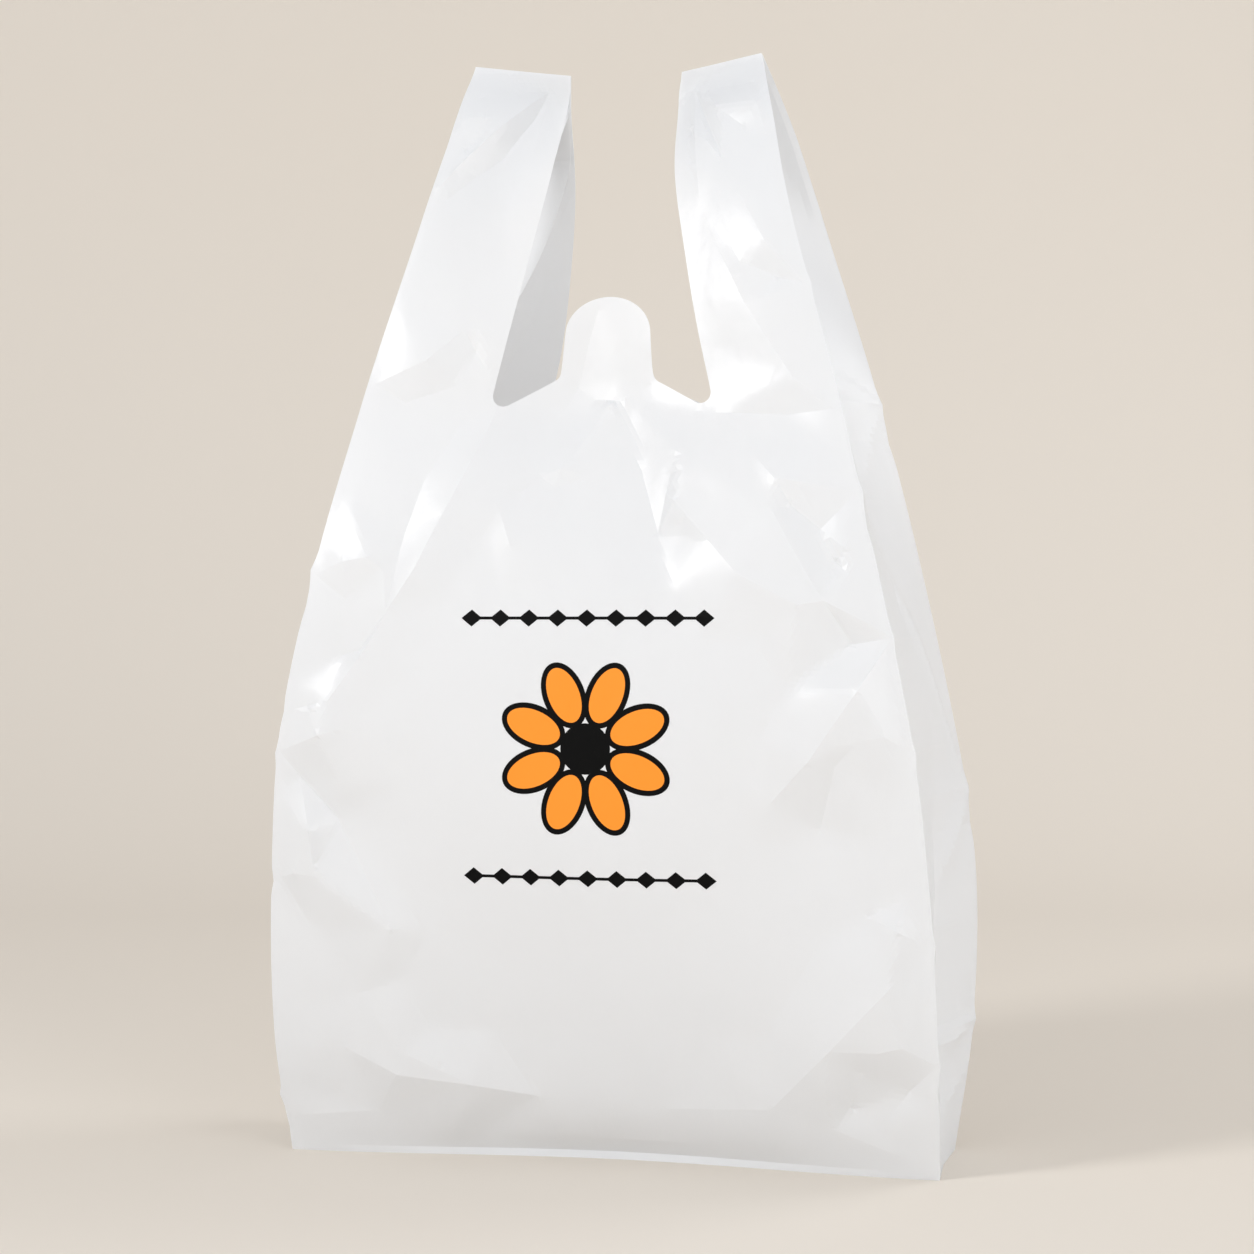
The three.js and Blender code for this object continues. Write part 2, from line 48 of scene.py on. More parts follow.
def run_of(points):
    """A smooth run of a size up the bag, through its (height, size) points."""
    heights = np.array([p[0] for p in points], float)
    sizes = np.array([p[1] for p in points], float)
    slopes = np.empty(len(sizes))
    slopes[1:-1] = (sizes[2:] - sizes[:-2]) / (heights[2:] - heights[:-2])
    slopes[0] = (sizes[1] - sizes[0]) / (heights[1] - heights[0])
    slopes[-1] = (sizes[-1] - sizes[-2]) / (heights[-1] - heights[-2])

    def at(height):
        height = np.clip(height, heights[0], heights[-1])
        i = np.clip(np.searchsorted(heights, height, side="right") - 1, 0, len(heights) - 2)
        step = heights[i + 1] - heights[i]
        t = (height - heights[i]) / step
        return (
            (2 * t**3 - 3 * t**2 + 1) * sizes[i]
            + (t**3 - 2 * t**2 + t) * step * slopes[i]
            + (3 * t**2 - 2 * t**3) * sizes[i + 1]
            + (t**3 - t**2) * step * slopes[i + 1]
        )

    return at


foot_height = 60
belly_height = 140
shoulder_height = 220
drape_height = 300
mouth_height = 366
wrist_height = 460
neck_height = 500
film_top = 540.0
weld_outer = {-1: 75.6, 1: 69.5}
weld_inner = {-1: 26.9, 1: 29.5}
weld_slant = {-1: math.radians(7.5), 1: math.radians(10)}
film_gap = 0.36
film_wall = 0.16
strip_depth = 1.5 * film_gap

front_fold_width = run_of([
    (0, 160.5), (foot_height, 162), (belly_height, 159), (shoulder_height, 150),
    (mouth_height, 116.5), (wrist_height, 90), (film_top, 72),
])
back_fold_width = run_of([
    (0, 160.5), (foot_height, 167.5), (belly_height, 167.5), (shoulder_height, 154),
    (mouth_height, 121.5), (wrist_height, 94.5), (film_top, 72),
])
fold_depth = run_of([
    (0, 36), (foot_height, 57), (belly_height, 69), (shoulder_height, 77.5), (drape_height, 72),
    (mouth_height, 60), (wrist_height, 43.5), (neck_height, 29), (520, 17.5), (534, 5.5),
    (film_top, strip_depth),
])
middle_depth = run_of([
    (0, 23.5), (3.2, 21.8), (6.5, 24.8), (12, 30), (25, 38.5), (50, 48.5), (100, 65), (160, 78),
    (220, 80), (280, 74), (330, 58), (365, 40), (400, 38), (440, 32), (480, 21), (500, 11),
    (520, -2.6), (540, -14),
])
tuck = run_of([
    (0, 2), (10, 4), (50, 10), (100, 12), (160, 8), (220, 2), (280, 6), (340, 14), (380, 22),
])

# Small kinks where a crease meets a fold: height, how far the fold steps out, and over what length.
# The left handle was welded wider than the right one, which the last kink of each gives.
fold_kinks = {
    -1: [
        (287, 1.6, 9), (270, -0.7, 14), (219, -0.7, 9), (199, 1.0, 8), (137, -1.2, 8), (29, 1.6, 7),
        (12, -0.5, 8), (540, 3.6, 46),
    ],
    1: [
        (421, 0.9, 7), (322, 1.2, 8), (305, -0.8, 12), (255, 0.9, 9), (202, 0.9, 8), (114, 1.0, 8),
        (57, 1.0, 7), (44, -0.8, 9), (540, -2.5, 40),
    ],
}
back_kinks = {
    -1: [(300, 1.2, 10), (180, -1.2, 9), (62, 1.2, 8), (540, 3.6, 46)],
    1: [
        (372, 1.3, 8), (352, -0.9, 12), (178, 1.3, 9), (160, -0.8, 12), (62, 1.3, 8),
        (540, -2.5, 40),
    ],
}


def kinked(kinks, height):
    """How far the kinks move a fold at a height."""
    shift = np.zeros_like(np.asarray(height, float))
    for at, out, length in kinks:
        shift = shift + out * np.clip(1 - np.abs(height - at) / length, 0, 1) ** 1.4
    return shift


def fold_at(side, hand, height):
    """Half width of a fold. side is -1 for the front and 1 for the back, hand is -1 for the left."""
    if side < 0:
        return front_fold_width(height) + kinked(fold_kinks[hand], height)
    return back_fold_width(height) + kinked(back_kinks[hand], height)


def row_drop(x, row):
    """How far a row has come down at x, because rows lie along the slanted welds at the top."""
    t = np.clip((row - 460) / 60, 0, 1)
    slope = np.where(x < 0, math.tan(weld_slant[-1]), math.tan(weld_slant[1]))
    outer = np.where(x < 0, weld_outer[-1], weld_outer[1])
    return t * t * (3 - 2 * t) * np.maximum(0, outer - np.abs(x)) * slope


def row_at(x, z):
    """The row that passes through a point of the panel."""
    row = z
    for _ in range(3):
        row = z + row_drop(x, row)
    return row


# Creases in the front panel. The film was packed flat and handled open, so it is broken into flat
# facets that meet in sharp lines. The lines start at pinches in the folds, at the mouth's corners
# and at the handles' welds. Each line is a row of points: x, z, and one of these steps out or in. A
# shoulder stands out by step_size, and the others in proportion.
peak = 2.0
crest = 1.5
shoulder = 1.0
swell = 0.5
level = 0.0
dip = -0.5
valley = -1.0
front_creases = {
    "left_strap": [
        [(-37, 528, level), (-54, 507, shoulder), (-83, 474, swell)],
        [(-68, 522, level), (-64, 510, shoulder), (-72, 494, level)],
        [(-52, 524, level), (-50, 517, swell), (-54, 507, shoulder)],
        [(-37, 528, level), (-43, 510, dip), (-55, 489, valley), (-83, 464, level)],
        [(-37, 528, level), (-41, 489, dip), (-50, 438, dip), (-59, 401, swell), (-62, 392, level)],
        [(-110, 377, level), (-84, 388, shoulder), (-67, 403, swell), (-62, 392, level)],
        [(-62, 392, level), (-55, 381, swell), (-50, 367, swell)],
        [(-110, 377, level), (-95, 368, dip), (-73, 375, level), (-55, 381, swell)],
    ],
    "left_crotch": [
        [(-55, 381, swell), (-68, 357, level), (-83, 330, level), (-92, 300, level), (-98, 267, swell)],
        [(-50, 367, swell), (-60, 339, shoulder), (-72, 313, shoulder), (-85, 286, shoulder),
         (-98, 267, swell)],
        [(-135, 285, level), (-120, 291, shoulder), (-108, 293, shoulder), (-100, 287, swell),
         (-98, 267, swell)],
        [(-135, 285, level), (-119, 273, level), (-98, 267, swell)],
        [(-98, 267, swell), (-111, 249, level), (-121, 246, dip), (-113, 238, swell)],
        [(-98, 267, swell), (-105, 254, swell), (-126, 225, shoulder), (-149, 219, level)],
    ],
    "under_mouth": [
        [(-60, 339, shoulder), (-46, 325, swell), (-36, 324, level), (-27, 331, level)],
        [(-60, 339, shoulder), (-45, 315, swell), (-39, 299, swell)],
        [(-27, 331, level), (-18, 335, swell), (-4, 331, level)],
        [(-27, 331, level), (-20, 326, level), (-4, 331, level)],
        [(3, 366, shoulder), (21, 334, dip), (31, 304, valley)],
        [(43, 365, swell), (38, 343, shoulder), (31, 304, valley)],
        [(-3, 417, level), (-9, 396, dip), (-14, 375, dip), (-5, 369, level)],
        [(12, 417, level), (5, 395, level), (-5, 369, level)],
        [(-14, 375, dip), (-5, 369, level), (10, 368, swell), (23, 376, level)],
        [(31, 304, valley), (39, 319, shoulder), (57, 300, shoulder), (72, 284, crest),
         (100, 270, crest), (112, 272, shoulder)],
    ],
    "right_crotch": [
        [(56, 361, swell), (88, 312, shoulder), (103, 286, shoulder), (112, 272, shoulder)],
        [(56, 361, swell), (92, 359, dip), (114, 361, level)],
        [(56, 361, swell), (74, 343, swell), (87, 329, shoulder), (99, 327, shoulder), (126, 322, level)],
        [(99, 327, shoulder), (95, 316, level), (109, 305, dip), (126, 322, level)],
        [(109, 305, dip), (121, 296, swell), (130, 296, level)],
        [(116, 290, dip), (123, 284, swell), (131, 287, level)],
    ],
    "right_strap": [
        [(114, 361, level), (95, 375, swell), (69, 414, swell), (46, 459, level), (36, 524, level)],
        [(36, 524, level), (56, 483, level), (79, 442, swell), (98, 421, level)],
        [(98, 421, level), (86, 424, dip), (69, 432, level), (69, 414, swell)],
        [(43, 522, level), (50, 512, shoulder), (64, 501, level)],
        [(66, 524, level), (71, 512, shoulder), (77, 495, level)],
        [(38, 500, level), (47, 494, swell), (56, 483, level)],
    ],
    "right_edge": [
        [(112, 272, shoulder), (133, 261, swell), (143, 255, level)],
        [(143, 255, level), (128, 231, peak), (105, 198, peak), (87, 179, swell)],
        [(143, 255, level), (124, 252, valley), (112, 272, shoulder)],
        [(151, 203, level), (140, 210, crest), (128, 208, crest), (117, 196, shoulder),
         (109, 167, dip)],
        [(158, 114, level), (145, 120, crest), (131, 127, level)],
        [(158, 114, level), (140, 93, peak), (112, 63, peak), (82, 32, shoulder)],
        [(161, 57, level), (146, 66, crest), (134, 63, crest), (125, 53, swell), (121, 34, dip)],
        [(161, 57, level), (148, 44, valley), (133, 24, level)],
        [(82, 32, shoulder), (110, 24, swell), (156, 6, level)],
    ],
    "left_edge": [
        [(-152, 200, level), (-131, 208, crest), (-116, 212, swell)],
        [(-152, 200, level), (-143, 188, valley), (-125, 168, valley), (-98, 115, shoulder)],
        [(-157, 138, level), (-146, 141, crest), (-135, 140, crest)],
        [(-135, 140, crest), (-137, 162, crest), (-143, 188, valley)],
        [(-149, 219, level), (-142, 212, swell), (-134, 221, shoulder)],
    ],
    "left_foot": [
        [(-141, 77, level), (-117, 83, level), (-97, 55, crest), (-63, 39, peak)],
        [(-141, 77, level), (-127, 56, swell), (-99, 43, peak), (-63, 39, peak)],
        [(-160, 29, level), (-152, 34, level), (-127, 56, swell)],
        [(-160, 29, level), (-153, 19, swell), (-156, 5, level)],
        [(-153, 19, swell), (-112, 23, swell), (-63, 39, peak)],
        [(-63, 39, peak), (-30, 33, swell), (25, 29, level), (82, 32, shoulder)],
    ],
}
front_lines = [line for group in front_creases.values() for line in group]
back_lines = [
    [(2 - 0.98 * x, 0.97 * z + 6, rise) for x, z, rise in line]
    for name in ("left_strap", "left_crotch", "right_crotch", "right_strap", "right_edge", "left_edge")
    for line in front_creases[name]
]
step_size = 4.1
quiet_pitch = 27.0
quiet_margin = 13.0
row_pitch = 0.866 * quiet_pitch


def resampled(points, step):
    """The same line with points a step apart at most."""
    line = [points[0]]
    for start, end in zip(points, points[1:]):
        pieces = max(1, math.ceil(math.dist(start, end) / step))
        for k in range(1, pieces + 1):
            t = k / pieces
            line.append((start[0] + (end[0] - start[0]) * t, start[1] + (end[1] - start[1]) * t))
    return line


def facets(lines, side):
    """The flat facets between some creases, in a triangulation of x, z with a height at each corner.

    Away from the creases the film is quiet, which corners of no height in a lattice give.
    """
    heights = {}
    edges = []
    for line in lines:
        for x, z, rise in line:
            heights.setdefault((float(x), float(z)), rise)
    places = list(heights)
    for line in lines:
        for start, end in zip(line, line[1:]):
            edges.append((places.index((start[0], start[1])), places.index((end[0], end[1]))))
    quiet = []
    for hand in (-1, 1):
        quiet += [(hand * float(fold_at(side, hand, z)), float(z)) for z in range(0, 541, 18)]
    quiet += [(float(x), z) for x in range(-140, 141, 20) for z in (-1.0, 545.0)]
    for j in range(int(film_top / row_pitch)):
        for i in range(-6, 7):
            quiet.append(((i + 0.5 * (j % 2)) * quiet_pitch, 20 + j * row_pitch))
    held = np.array([p for line in lines for p in resampled([(x, z) for x, z, _ in line], 4)])
    for place in quiet:
        if np.min(np.hypot(held[:, 0] - place[0], held[:, 1] - place[1])) > quiet_margin:
            heights[place] = 0.0
    places = list(heights)
    made = delaunay_2d_cdt([Vector(p) for p in places], edges, [], 0, 1e-4, True)
    corners = np.array([(p.x, p.y) for p in made[0]])
    rises = np.array([heights[places[origin[0]]] if origin else 0.5 for origin in made[3]])
    return corners, np.array(made[2]), rises


def facet_lift(facet, across, up):
    """How far the facets lift the film at some places."""
    corners, faces, rises = facet
    lift = np.zeros(len(across))
    for i, j, k in faces:
        (ax, az), (bx, bz), (cx, cz) = corners[i], corners[j], corners[k]
        area = (bx - ax) * (cz - az) - (bz - az) * (cx - ax)
        if abs(area) < 1e-6:
            continue
        v = ((across - ax) * (cz - az) - (up - az) * (cx - ax)) / area
        w = ((bx - ax) * (up - az) - (bz - az) * (across - ax)) / area
        inside = (v >= -1e-9) & (w >= -1e-9) & (v + w <= 1 + 1e-9)
        lift[inside] = (rises[i] + (rises[j] - rises[i]) * v + (rises[k] - rises[i]) * w)[inside]
    return lift


def slack(across, up, seed):
    """The gentle unevenness of film that hangs loose."""
    wide = [noise.noise(Vector((a / 75, u / 95, seed))) for a, u in zip(across, up)]
    narrow = [noise.noise(Vector((a / 28, u / 40, seed + 7))) for a, u in zip(across, up)]
    return 2.2 * np.array(wide) + 0.5 * np.array(narrow)


front_facets = facets(front_lines, -1)
back_facets = facets(back_lines, 1)
softening_passes = 2
softening = 0.6
weld_ease = 3.5


def smooth_depth(side, x, z):
    """Distance of a panel's broad form from the middle of the bag, and how free it is to crease."""
    row = row_at(x, z)
    edge = np.where(x < 0, fold_at(side, -1, row), fold_at(side, 1, row))
    share = np.clip(np.abs(x) / edge, 0, 1)
    outer = fold_depth(row)
    depth = outer + (middle_depth(row) - outer) * np.cos(0.5 * math.pi * share) ** 2
    free = (1 - share**16) * np.clip(z / 14, 0, 1) * np.clip((538 - row) / 14, 0, 1)
    return depth, free


def panel_depth(side, x, z, faces=None, held=None):
    """Distance of a panel from the middle of the bag, where it hangs at x, z.

    With a mesh's faces, the facets' edges are softened a little wherever they aren't held.
    """
    depth, free = smooth_depth(side, x, z)
    lift = facet_lift(front_facets if side < 0 else back_facets, x, z)
    if faces is not None:
        pairs = np.vstack([faces[:, [0, 1]], faces[:, [1, 2]], faces[:, [2, 0]]])
        pairs = np.vstack([pairs, pairs[:, ::-1]])
        count = np.bincount(pairs[:, 0], minlength=len(x))
        for _ in range(softening_passes):
            mean = np.bincount(pairs[:, 0], lift[pairs[:, 1]], minlength=len(x)) / np.maximum(count, 1)
            lift = np.where(held, lift, (1 - softening) * lift + softening * mean)
    lift = step_size * lift + slack(x, z, 3.1 if side < 0 else 11.7)
    bare = depth + lift * free
    closing = 0.5 * (bare + np.sqrt(bare**2 + weld_ease**2))
    return np.maximum(strip_depth, closing)


# The die cut. One punch through the flat tube takes out the mouth, the gap between the handles and
# the slots beside the tab. Only the front keeps the tab, which the bags of a pack hang by. The
# outlines are in x and z, from the left handle's weld to the right one's.
weld_start = {hand: (weld_outer[hand], film_top) for hand in (-1, 1)}
weld_end = {
    hand: (weld_inner[hand], film_top - (weld_outer[hand] - weld_inner[hand]) * math.tan(weld_slant[hand]))
    for hand in (-1, 1)
}
crotch_radius = 5.0
crotch_low = 365.7
crotch_aside = {-1: 48.4, 1: 45.4}
crotch_turns = np.radians(np.linspace(14, -120, 8))
edge_steps = 12


def strap_edge(side, gap):
    """A strap's inner edge, from its weld down and round the crotch at its foot.

    gap is how far the edge is from the middle, at some heights from the lowest up.
    """
    crotch = [
        (crotch_aside[side] + crotch_radius * math.cos(a), crotch_low + crotch_radius * (1 + math.sin(a)))
        for a in crotch_turns
    ]
    edge = run_of([crotch[0][::-1]] + gap)
    heights = np.linspace(gap[-1][0], crotch[0][1], edge_steps)[:-1]
    return [(float(edge(z)), float(z)) for z in heights] + crotch


front_strap_edge = strap_edge(-1, [(400, 46.5), (440, 38.5), (480, 31), (518, 28)])
back_strap_edge = strap_edge(1, [(400, 43), (440, 36), (480, 30.5), (518, 27)])


def across_bag(hand, edge):
    """A strap's inner edge on one side of the bag, from its weld down."""
    return [(hand * x, z) for x, z in [weld_end[hand]] + edge]


tab_outline = (
    [(-27.0, 377.2), (-24.0, 378.9), (-22.4, 380.6), (-21.8, 384.0), (-19.9, 401.0)]
    + [
        (1.1 - 21.0 * math.cos(a), 400.6 + 18.2 * math.sin(a))
        for a in np.linspace(0.16, math.pi - 0.16, 23)
    ]
    + [(22.1, 401.0), (23.2, 383.0), (23.9, 379.6), (25.6, 377.4), (28.6, 375.9)]
)
back_mouth = [(-30.0, 374.0), (-15.0, 378.5), (0.0, 380.0), (15.0, 378.5), (30.0, 374.0)]


def rounded(points, passes=2):
    """A line with its corners cut into curves, its two ends kept."""
    for _ in range(passes):
        cut = [points[0]]
        for (x0, z0), (x1, z1) in zip(points, points[1:]):
            cut.append((0.75 * x0 + 0.25 * x1, 0.75 * z0 + 0.25 * z1))
            cut.append((0.25 * x0 + 0.75 * x1, 0.25 * z0 + 0.75 * z1))
        cut.append(points[-1])
        points = cut
    return points


front_cut = rounded(
    across_bag(-1, front_strap_edge) + tab_outline + across_bag(1, front_strap_edge)[::-1]
)
back_cut = rounded(
    across_bag(-1, back_strap_edge) + back_mouth + across_bag(1, back_strap_edge)[::-1]
)

# The print. Two inks lie on the front of the film, a plain flower in orange with black lines, and a
# string of black diamonds above and below it. Ink has no thickness to speak of, so it is the film's
# own faces, cut along the print's outlines.
flower_height = 203.0
petal_count = 8
petal_reach = 27.0
petal_half = (13.5, 7.5)
petal_line = 2.6
heart_radius = 12.0
string_rise = 61.0
diamond_count = 9
diamond_pitch = 14.0
diamond_half = (5.0, 4.0)
string_half = 0.7


def petal_loop(index, grow):
    """The outline of one petal, grown by the width of its black line or not."""
    turn = (index + 0.5) * 2 * math.pi / petal_count
    loop = []
    for a in np.linspace(0, 2 * math.pi, 40, endpoint=False):
        along = petal_reach + (petal_half[0] + grow) * math.cos(a)
        beside = (petal_half[1] + grow) * math.sin(a)
        loop.append((
            along * math.cos(turn) - beside * math.sin(turn),
            flower_height + along * math.sin(turn) + beside * math.cos(turn),
        ))
    return loop


def heart_loop():
    """The outline of the flower's black middle."""
    turns = np.linspace(0, 2 * math.pi, 40, endpoint=False)
    return [(heart_radius * math.cos(a), flower_height + heart_radius * math.sin(a)) for a in turns]


def diamond_loops(height):
    """The outlines of one string and of its diamonds."""
    half = (diamond_count - 1) * diamond_pitch / 2
    loops = [[
        (-half, height - string_half), (half, height - string_half),
        (half, height + string_half), (-half, height + string_half),
    ]]
    for i in range(diamond_count):
        x = i * diamond_pitch - half
        loops.append([
            (x - diamond_half[0], height), (x, height - diamond_half[1]),
            (x + diamond_half[0], height), (x, height + diamond_half[1]),
        ])
    return loops


def in_petal(x, z, grow):
    """Which places lie on a petal, grown or not."""
    inside = np.zeros(len(x), bool)
    for index in range(petal_count):
        turn = (index + 0.5) * 2 * math.pi / petal_count
        along = x * math.cos(turn) + (z - flower_height) * math.sin(turn) - petal_reach
        beside = (z - flower_height) * math.cos(turn) - x * math.sin(turn)
        size = (along / (petal_half[0] + grow)) ** 2 + (beside / (petal_half[1] + grow)) ** 2
        inside |= size < 0.997
    return inside


def in_string(x, z):
    """Which places lie on a string or on one of its diamonds."""
    half = (diamond_count - 1) * diamond_pitch / 2
    rise = np.abs(np.abs(z - flower_height) - string_rise)
    nearest = np.clip(np.round((x + half) / diamond_pitch), 0, diamond_count - 1)
    beside = np.abs(x - nearest * diamond_pitch + half)
    diamond = beside / diamond_half[0] + rise / diamond_half[1] < 1
    return diamond | ((rise < string_half) & (np.abs(x) < half))


print_loops = (
    [petal_loop(i, 0) for i in range(petal_count)]
    + [petal_loop(i, petal_line) for i in range(petal_count)]
    + [heart_loop()]
    + diamond_loops(flower_height - string_rise)
    + diamond_loops(flower_height + string_rise)
)

# The panels. The front and the back are each one sheet between two folds. A panel is laid out flat
# as the die leaves it and divided into small triangles, with edges along its creases and its print,
# and then hung in its place.
fold_rows = np.unique(np.round(np.concatenate([
    np.linspace(0, 16, 6),
    np.linspace(16, 512, 141),
    np.linspace(512, 536, 9),
    [538.0, film_top],
    [at for kinks in (fold_kinks, back_kinks) for hand in (-1, 1) for at, _, _ in kinks[hand]],
]), 2))
fold_rows = fold_rows[np.concatenate([[True], np.diff(fold_rows) > 0.9])]
fold_rows[-1] = film_top
base_shares = np.linspace(0, 1, 91)


def inside_loop(points, loop):
    """Which points lie inside a closed loop."""
    x = points[:, 0]
    z = points[:, 1]
    inside = np.zeros(len(points), bool)
    for (x0, z0), (x1, z1) in zip(loop, loop[1:] + loop[:1]):
        crosses = (z0 > z) != (z1 > z)
        if z0 != z1:
            inside ^= crosses & (x < (x1 - x0) * (z - z0) / (z1 - z0) + x0)
    return inside


def distance_to(points, lines):
    """Each point's distance to the nearest of some lines."""
    nearest = np.full(len(points), 1e9)
    for line in lines:
        for (x0, z0), (x1, z1) in zip(line, line[1:]):
            dx = x1 - x0
            dz = z1 - z0
            if dx == 0 and dz == 0:
                continue
            t = ((points[:, 0] - x0) * dx + (points[:, 1] - z0) * dz) / (dx * dx + dz * dz)
            t = np.clip(t, 0, 1)
            away = np.hypot(points[:, 0] - x0 - t * dx, points[:, 1] - z0 - t * dz)
            nearest = np.minimum(nearest, away)
    return nearest


def panel_sheet(side, cut, creases, loops, step):
    """Triangles of a panel: the corners as x, z and the three corners of each."""
    left = [(-float(fold_at(side, -1, r)), float(r)) for r in fold_rows]
    right = [(float(fold_at(side, 1, r)), float(r)) for r in fold_rows]
    width = (left[0][0], right[0][0])
    floor = [(width[0] + (width[1] - width[0]) * s, 0.0) for s in base_shares]
    welds = {
        hand: [(hand * x, z) for x, z in resampled([weld_start[hand], weld_end[hand]], 3.0)]
        for hand in (-1, 1)
    }
    mouth = resampled(cut, step)
    outline = floor + right[1:-1] + welds[1] + mouth[::-1][1:] + welds[-1][::-1][1:-1]
    outline = outline + left[::-1][:-1]
    lines = [resampled([(p[0], p[1]) for p in line], step) for line in creases]
    closed = [resampled(loop + loop[:1], step) for loop in loops]
    inner = []
    for line in lines:
        kept = np.array(line)
        free = inside_loop(kept, outline) & (distance_to(kept, [outline + outline[:1]]) > 0.35 * step)
        inner.append([tuple(p) for p, keep in zip(line, free) if keep])
    columns = int(340 / step)
    rows = int(560 / (step * 0.866))
    lattice = np.array([
        ((i + 0.5 * (j % 2)) * step - 170, j * step * 0.866 + 0.3 * step)
        for j in range(rows)
        for i in range(columns)
    ])
    lattice = lattice[inside_loop(lattice, outline)]
    lattice = lattice[distance_to(lattice, [outline + outline[:1]]) > 0.55 * step]
    lattice = lattice[distance_to(lattice, [line for line in inner if len(line) > 1]) > 0.5 * step]
    if closed:
        lattice = lattice[distance_to(lattice, closed) > 0.3 * step]
    corners = [Vector(p) for p in outline]
    edges = [(i, (i + 1) % len(outline)) for i in range(len(outline))]
    for line in inner:
        start = len(corners)
        corners += [Vector(p) for p in line]
        edges += [(start + i, start + i + 1) for i in range(len(line) - 1)]
    for loop in closed:
        start = len(corners)
        count = len(loop) - 1
        corners += [Vector(p) for p in loop[:-1]]
        edges += [(start + i, start + (i + 1) % count) for i in range(count)]
    corners += [Vector(p) for p in lattice]
    made = delaunay_2d_cdt(corners, edges, [], 1, 1e-4, False)
    points = np.array([(p.x, p.y) for p in made[0]])
    faces = np.array([f for f in made[2] if len(f) == 3])
    a, b, c = (points[faces[:, k]] for k in range(3))
    area = (b[:, 0] - a[:, 0]) * (c[:, 1] - a[:, 1]) - (b[:, 1] - a[:, 1]) * (c[:, 0] - a[:, 0])
    within = inside_loop((a + b + c) / 3, outline)
    return points, faces[(np.abs(area) > 1e-6) & within]


def panel_corners(side, points, faces=None, creases=None):
    """A panel's corners hung in their place, with the creases' crests kept sharp."""
    held = None
    if creases:
        held = distance_to(points, [[(x, z) for x, z, _ in line] for line in creases]) < 0.2
    depth = panel_depth(side, points[:, 0], points[:, 1], faces, held)
    return np.column_stack([points[:, 0], side * depth, points[:, 1]])


film_corners = []
film_faces = []
film_inks = []


def add_sheet(corners, faces, inks=None):
    """Lays one more sheet beside the film's others."""
    start = sum(len(c) for c in film_corners)
    film_corners.append(np.asarray(corners, float))
    film_faces.extend([tuple(int(i) + start for i in face) for face in faces])
    film_inks.extend([0] * len(faces) if inks is None else [int(i) for i in inks])


front_points, front_faces = panel_sheet(-1, front_cut, front_lines, print_loops, 3.0)
middle = front_points[front_faces].mean(axis=1)
orange = in_petal(middle[:, 0], middle[:, 1], 0)
black = in_petal(middle[:, 0], middle[:, 1], petal_line)
black |= np.hypot(middle[:, 0], middle[:, 1] - flower_height) < heart_radius * 0.998
black |= in_string(middle[:, 0], middle[:, 1])
front_inks = np.where(orange, 1, np.where(black, 2, 0))
add_sheet(panel_corners(-1, front_points, front_faces, front_lines), front_faces, front_inks)

back_points, back_faces = panel_sheet(1, back_cut, back_lines, [], 4.2)
add_sheet(panel_corners(1, back_points, back_faces, back_lines), back_faces[:, ::-1])

# The side gussets. Each is the tube's film tucked in between the two panels, with a fold along its
# middle. Above the mouth the die has cut that fold away, and each half stays behind its own handle
# strap, so a strap is two layers that are joined at their outer fold and at the weld.
gusset_columns = 17
layer_clearance = 2.6
gusset_creases = [
    (0.0, [(-66, 322, 0.7, 3), (-20, 292, 2.1, 15), (10, 268, 2.1, 15), (72, 180, 0.7, 3)]),
    (0.2, [(60, 372, 0.7, 2), (30, 384, 1.8, 11), (5, 392, 0.5, 9)]),
    (0.0, [(60, 372, 0.5, 2), (36, 350, 1.8, 11), (12, 330, 0.5, 9)]),
    (0.0, [(74, 178, 0.7, 2), (40, 160, 2.4, 15), (-10, 130, 0.7, 13)]),
    (0.0, [(54, 62, 0.7, 2), (20, 56, 1.8, 10), (-20, 60, 0.5, 9)]),
    (0.3, [(50, 40, 0.5, 4), (10, 28, 1.4, 10), (-30, 44, 0.5, 7)]),
    (0.0, [(-62, 113, 0.5, 2), (-30, 104, 1.6, 10), (0, 90, 0.5, 9)]),
]
inner_turn = run_of([
    (366, 72), (400, 53), (440, 36), (480, 22), (500, 15), (520, 7), (534, 1), (540, 0),
])


def ridge_lift(ridges, across, up):
    """How far narrow ridges lift a gusset. Where they meet, the higher one is its surface."""
    high = np.zeros(len(across))
    low = np.zeros(len(across))
    for lean, points in ridges:
        for (x0, z0, rise0, spread0), (x1, z1, rise1, spread1) in zip(points, points[1:]):
            along_x = x1 - x0
            along_z = z1 - z0
            t = ((across - x0) * along_x + (up - z0) * along_z) / (along_x**2 + along_z**2)
            t = np.clip(t, 0, 1)
            away = np.hypot(across - x0 - t * along_x, up - z0 - t * along_z)
            left_of = (across - x0) * along_z - (up - z0) * along_x < 0
            flank = (spread0 + (spread1 - spread0) * t) * np.where(left_of, 1 + lean, 1 - lean)
            lift = (rise0 + (rise1 - rise0) * t) * np.clip(1 - away / flank, 0, 1) ** 1.6
            high = np.maximum(high, lift)
            low = np.minimum(low, lift)
    return high + low


def strap_width(side, hand, row):
    """How wide a handle's strap is, from its outer fold to its cut edge."""
    edge = [weld_end[hand]] + (front_strap_edge if side < 0 else back_strap_edge)[:edge_steps]
    inner = np.interp(-row, [-z for _, z in edge], [x for x, _ in edge])
    return fold_at(side, hand, row) - inner


